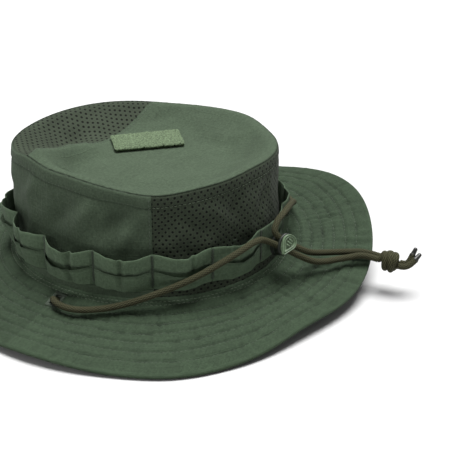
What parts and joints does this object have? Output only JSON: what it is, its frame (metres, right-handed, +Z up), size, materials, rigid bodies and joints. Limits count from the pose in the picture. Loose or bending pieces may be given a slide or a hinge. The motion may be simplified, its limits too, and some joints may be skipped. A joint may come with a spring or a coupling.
{
  "type": "boonie hat",
  "caption": "Soft round sun hat with a dished crown, mesh vent panels, wide quilted brim, foliage loop band and a chin cord with a sliding cord lock.",
  "frame": {"origin": "the point under the middle of the hat, on the surface that the brim's edge stands on", "axes": "+Z up along the crown's axis, -Y the front, +X the wearer's left"},
  "size_m": [0.3098, 0.3405, 0.0984],
  "materials": {
    "ripstop_crown": "matte ripstop weave, dark olive green",
    "ripstop_brim": "matte ripstop weave with rows of stitching, dark olive green",
    "ripstop_band": "matte folded ripstop tape, dark olive green",
    "mesh": "perforated warp-knit mesh, brown olive",
    "sweatband": "matte soft twill, olive green",
    "interlining": "matte non-woven stiffener",
    "loop_pile": "fuzzy loop pile, light olive green",
    "thread": "polyester thread, olive green",
    "cord": "braided round cord, brown olive",
    "cord_tip": "melted dark cord end",
    "lock_body": "matte moulded nylon, dark olive",
    "lock_button": "satin moulded nylon, light olive",
    "spring_steel": "bright spring wire"
  },
  "bodies": {
    "hat": {"crown_top_panel": "ripstop_crown", "crown_top_mesh": "mesh", "crown_wall_panel": "ripstop_crown", "crown_wall_mesh": "mesh", "sweatband": "sweatband", "loop_patch": "loop_pile", "brim_upper_ply": "ripstop_brim", "brim_interlining": "interlining", "brim_lower_ply": "ripstop_brim", "slit_stitching_left": "thread", "slit_stitching_right": "thread", "foliage_loop_band": "ripstop_band", "loop_bar_tacks": "thread", "chin_cord_left": "cord", "chin_cord_right": "cord", "cord_knot": "cord", "cord_tails": "cord", "cord_tips": "cord_tip", "cord_anchor_left": "ripstop_band", "cord_anchor_right": "ripstop_band"},
    "cord_lock": {"cord_lock_barrel": "lock_body", "cord_lock_spring": "spring_steel"},
    "lock_plunger": {"cord_lock_plunger": "lock_button"}
  },
  "joints": [
    {"name": "cord_lock_slide", "type": "slide", "parent": "hat", "child": "cord_lock", "axis": [-0.6368, 0.5391, -0.5513], "range_m": [0, 0.004]},
    {"name": "cord_lock_press", "type": "slide", "parent": "cord_lock", "child": "lock_plunger", "axis": [-0.3379, -0.8378, -0.4289], "range_m": [0, 0.002], "stiffness_N_per_m": 900, "springref_m": -0.003, "deforming": ["cord_lock_spring"]}
  ]
}
